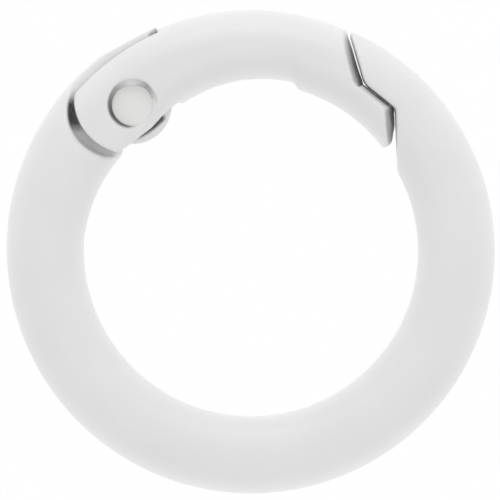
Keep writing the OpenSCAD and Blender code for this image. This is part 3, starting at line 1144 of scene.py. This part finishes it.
@dataclass
class Rivet:
    """The rivet: a shank with a low crowned head at each end.

    Attributes:
        hinge: The hinge.
        shank_r: Radius of the shank.
        head_r: Radius of the heads.
        head_foot: Height of the heads' undersides from the middle plane.
        head_t: Thickness of the heads.
        crown_r: Radius of their crowns.
        edge_r: Radius of their rims.
        rim_turn: Where on its quarter round the rim meets the crown.
        bevel: Size of the small bevels under the heads.
        shank_foot: Height of the bevels at the shank's ends.
        sides: Points round the axis.
    """

    hinge: Hinge
    shank_r: float = 0.65
    head_r: float = 1.055
    head_foot: float = 1.15
    head_t: float = 0.28
    crown_r: float = 6.0
    edge_r: float = 0.07
    rim_turn: float = 78.0
    bevel: float = 0.02
    shank_foot: float = 0.03
    sides: int = 128

    def half_profile(self) -> Array:
        """The upper half of the section, from the crown down.

        The crown is a circle about the axis, the rim a quarter round that meets it, and the
        underside and the shank are straight.

        Returns:
            Rows of radius and height from the middle plane.
        """
        top = self.head_foot + self.head_t
        rim_x = self.head_r - self.edge_r
        across = np.linspace(0.0, rim_x, 20)
        crown = top - (self.crown_r - np.sqrt(self.crown_r**2 - across**2))
        turn = np.radians(np.linspace(self.rim_turn, 0.0, 8))
        rim_z = crown[-1] - self.edge_r
        rim = np.stack([rim_x + self.edge_r * np.cos(turn), rim_z + self.edge_r * np.sin(turn)], -1)
        foot = self.head_foot
        under = [[self.head_r, foot + self.bevel], [self.head_r - self.bevel, foot]]
        shank = [[self.shank_r + self.bevel, foot], [self.shank_r, foot - self.shank_foot]]
        return np.concatenate([np.stack([across, crown], -1)[1:], rim, under, shank])

    def surface(self) -> Surface:
        """Turns the profile round the axis: x = r cos a, y = r sin a, and z is its height.

        Returns:
            The rivet without its two ends.
        """
        upper = self.half_profile()
        lower = upper[::-1] * np.array([1.0, -1.0])
        profile = np.concatenate([upper, lower])
        angle = np.linspace(0.0, 2.0 * math.pi, self.sides, endpoint=False)
        radius, height = profile[:, :1], profile[:, 1:]
        x = self.hinge.pin[0] + radius * np.cos(angle)
        y = self.hinge.pin[1] + radius * np.sin(angle)
        z = self.hinge.middle + np.broadcast_to(height, x.shape)
        points = np.stack([x, y, z], -1).reshape(-1, 3) * MM
        quads = tube_quads(len(profile), self.sides)
        return Surface(points, quads[:, ::-1])

    def build(self, paint: Material) -> Object:
        """Makes the rivet, closes its two ends and lets it stand for its CAD node.

        Args:
            paint: Its finish.

        Returns:
            The piece.
        """
        obj = self.surface().to_object("hinge_rivet_painted")
        close_ends(obj)
        obj.data.materials.append(paint)
        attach(obj, "gate")
        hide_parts("hinge_rivet")
        LOG.info("%s: %d faces", obj.name, len(obj.data.polygons))
        return obj


def close_ends(obj: Object) -> None:
    """Fills each open end of a tube with a fan of triangles and turns its faces outwards.

    Args:
        obj: The piece, whose mesh is changed in place.
    """
    mesh = bmesh.new()
    mesh.from_mesh(obj.data)
    rims = [edge for edge in mesh.edges if edge.is_boundary]
    filled = bmesh.ops.holes_fill(mesh, edges=rims, sides=0)["faces"]
    bmesh.ops.poke(mesh, faces=filled)
    bmesh.ops.recalc_face_normals(mesh, faces=mesh.faces)
    for face in mesh.faces:
        face.smooth = True
    mesh.to_mesh(obj.data)
    mesh.free()


@dataclass
class TorsionSpring:
    """The spring: a leg in the ring, a close coil round the rivet, and a leg in the gate.

    Attributes:
        hinge: The hinge.
        wire_d: Diameter of the wire.
        coil_r: Mean radius of the coil.
        turns: Whole turns.
        pitch: Height of one turn.
        coil_top: Height of its upper end from the middle plane.
        ring_leg: Length of the leg in the ring.
        gate_leg: Length of the leg in the gate.
        gate_leg_angle: Direction from the pin in which the coil ends.
        leg_start: Distance from the coil to the first point of each leg.
        leg_points: Points along each leg.
        turn_points: Points along each turn.
        end_taper: Share of the wire's radius that its two ends have.
        sides: Points round the wire.
    """

    hinge: Hinge
    wire_d: float = 0.22
    coil_r: float = 1.0
    turns: int = 3
    pitch: float = 0.235
    coil_top: float = 0.14
    ring_leg: float = 2.3
    gate_leg: float = 2.64
    gate_leg_angle: float = 107.5
    leg_start: float = 0.1
    leg_points: int = 12
    turn_points: int = 64
    end_taper: float = 0.75
    sides: int = 14

    @property
    def sweep(self) -> float:
        """How far the coil turns, in degrees."""
        return 360.0 * self.turns + self.hinge.angle - self.gate_leg_angle

    @property
    def coil_foot(self) -> float:
        """Height of the coil's lower end from the middle plane."""
        return self.coil_top - self.pitch * self.sweep / 360.0

    def path(self) -> Array:
        """The wire's centreline: a straight leg, a helix about the pin, a straight leg.

        The helix turns clockwise as it climbs, and both legs leave it along its tangents.

        Returns:
            Positions along the wire, one row each.
        """
        start = polar(self.coil_r, self.hinge.angle)
        finish = polar(self.coil_r, self.gate_leg_angle)
        outward = polar(1.0, self.hinge.angle + 90.0)
        onward = polar(1.0, self.gate_leg_angle - 90.0)
        back = np.linspace(self.ring_leg, self.leg_start, self.leg_points)[:, None]
        ahead = np.linspace(self.leg_start, self.gate_leg, self.leg_points)[:, None]
        turned = np.linspace(0.0, self.sweep, self.turn_points * self.turns)
        angle = np.radians(self.hinge.angle - turned)
        coil = self.coil_r * np.stack([np.cos(angle), np.sin(angle)], -1)
        plan = np.concatenate([start + back * outward, coil, finish + ahead * onward])
        foot, top = self.coil_foot, self.coil_top
        climb = foot + (top - foot) * turned / self.sweep
        level = [np.full(self.leg_points, foot), climb, np.full(self.leg_points, top)]
        return np.column_stack([plan + self.hinge.pin, np.concatenate(level) + self.hinge.middle])

    def surface(self) -> Surface:
        """Carries a circle along the path, square to its tangent, drawn in at both ends.

        Returns:
            The wire without its two ends.
        """
        line = self.path()
        tangent = np.gradient(line, axis=0)
        tangent /= np.linalg.norm(tangent, axis=1, keepdims=True)
        across = np.cross(tangent, [0.0, 0.0, 1.0])
        across /= np.linalg.norm(across, axis=1, keepdims=True)
        up = np.cross(across, tangent)
        radius = np.full(len(line), self.wire_d / 2.0)
        radius[[0, -1]] *= self.end_taper
        angle = np.linspace(0.0, 2.0 * math.pi, self.sides, endpoint=False)[None, :, None]
        ring = np.cos(angle) * across[:, None] + np.sin(angle) * up[:, None]
        points = line[:, None] + radius[:, None, None] * ring
        quads = tube_quads(len(line), self.sides)
        return Surface(points.reshape(-1, 3) * MM, quads)

    def build(self, wire: Material) -> Object:
        """Makes the spring, which sits between the ring and the gate.

        Args:
            wire: Its finish.

        Returns:
            The piece.
        """
        obj = self.surface().to_object("torsion_spring_wire")
        close_ends(obj)
        obj.data.materials.append(wire)
        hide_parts("torsion_spring")
        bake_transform(obj)
        LOG.info("%s: %d faces", obj.name, len(obj.data.polygons))
        return obj


# ---- Stage ----


@dataclass
class Studio:
    """A white floor, soft lamps and a camera that looks straight down.

    Attributes:
        frame_w: Width that the camera sees.
        aim: The point that it looks at.
        distance: Height of the camera above the ring's middle plane.
        middle: Height of that plane.
        sky: Strength of the even light from above.
        floor_w: Width of the floor.
        floor_drop: Gap between the floor and the ring.
        paper: Colour of the floor where it takes the shadow.
        floor_glow: Strength of the light that the floor gives the pieces.
        glow_share: Share of that light in the floor, for the pieces and for the camera.
        lamp_distance: Distance of the lamps.
        lamps: For each lamp its azimuth, elevation, size and power.
    """

    frame_w: float = 25.015
    aim: Pair = (-0.0575, -0.048)
    distance: float = 600.0
    middle: float = 1.95
    sky: float = 0.785
    floor_w: float = 800.0
    floor_drop: float = 0.01
    paper: tuple[float, float, float, float] = (0.9, 0.9, 0.9, 1.0)
    floor_glow: float = 1.75
    glow_share: Pair = (0.4, 0.98)
    lamp_distance: float = 250.0
    lamps: dict[str, tuple[float, float, float, float]] = field(
        default_factory=lambda: {
            "key": (90.0, 30.0, 120.0, 0.115),
            "fill": (-75.0, 50.0, 160.0, 0.05),
        }
    )

    def floor_material(self) -> Material:
        """White that the camera sees nearly full, and that keeps part of the shadow.

        Returns:
            The material.
        """
        material = bpy.data.materials.new("studio_floor")
        sheet = NodeSheet(material)
        seen = sheet.seen()
        paper = sheet.add("ShaderNodeBsdfDiffuse", {"Color": self.paper}).outputs[0]
        strength = sheet.ramp(seen, WHOLE, self.floor_glow, 1.0)
        glow = sheet.add("ShaderNodeEmission", {"Color": WHITE, "Strength": strength}).outputs[0]
        share = sheet.ramp(seen, WHOLE, *self.glow_share)
        sheet.finish(sheet.add("ShaderNodeMixShader", {0: share, 1: paper, 2: glow}))
        return material

    def build_floor(self) -> None:
        """A flat sheet under the ring."""
        half, z = self.floor_w / 2.0 * MM, -self.floor_drop * MM
        corners = [[-half, -half, z], [half, -half, z], [half, half, z], [-half, half, z]]
        floor = Surface(np.array(corners), np.array([[0, 1, 2, 3]])).to_object("studio_floor")
        floor.data.materials.append(self.floor_material())

    def build_sky(self) -> None:
        """Even light from all round; the camera, gloss and glass see it as plain white."""
        world = bpy.data.worlds.new("studio_sky")
        bpy.context.scene.world = world
        sheet = NodeSheet(world, "ShaderNodeOutputWorld")
        strength = sheet.math("MAXIMUM", sheet.seen(), self.sky)
        sheet.finish(sheet.add("ShaderNodeBackground", {"Color": WHITE, "Strength": strength}))

    def build_lamps(self) -> None:
        """Square lamps placed by azimuth, elevation, size and power, aimed at the ring."""
        for name, (azimuth, elevation, size, power) in self.lamps.items():
            data = bpy.data.lights.new(f"lamp_{name}", "AREA")
            data.size = size * MM
            data.energy = power
            lamp = bpy.data.objects.new(f"lamp_{name}", data)
            rise = math.radians(elevation)
            x, y = polar(self.lamp_distance * math.cos(rise), azimuth)
            lamp.location = np.array([x, y, self.lamp_distance * math.sin(rise)]) * MM
            lamp.rotation_euler = (math.pi / 2.0 - rise, 0.0, math.radians(azimuth + 90.0))
            bpy.context.scene.collection.objects.link(lamp)

    def build_camera(self) -> None:
        """A long lens straight above the ring, with the picture's top towards +Y."""
        data = bpy.data.cameras.new("camera")
        data.sensor_width = 36.0
        data.lens = data.sensor_width * self.distance / self.frame_w
        data.clip_start = 0.01
        data.clip_end = 10.0
        camera = bpy.data.objects.new("camera", data)
        camera.location = np.array([*self.aim, self.middle + self.distance]) * MM
        bpy.context.scene.collection.objects.link(camera)
        bpy.context.scene.camera = camera

    def build(self) -> None:
        """Sets up the whole stage."""
        self.build_floor()
        self.build_sky()
        self.build_lamps()
        self.build_camera()
        bpy.context.scene.view_settings.view_transform = "Standard"


def main() -> None:
    """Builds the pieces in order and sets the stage."""
    logging.basicConfig(level=logging.INFO, format="%(name)s: %(message)s")
    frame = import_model()
    hinge = Hinge.from_frame(frame)
    paint = SprayPaint("white_spray_paint").build()
    rivet_paint = SprayPaint("rivet_spray_paint", colour=(0.80, 0.80, 0.785)).build()
    RingCasting("ring_body", "ring_body", Slot.RING, hinge, voxel=0.1).build(frame, paint)
    GateCasting("gate", "gate", Slot.GATE, hinge, voxel=0.062).build(frame, paint)
    Rivet(hinge).build(rivet_paint)
    TorsionSpring(hinge).build(SpringWire().build())
    Studio().build()


if __name__ == "__main__":
    main()
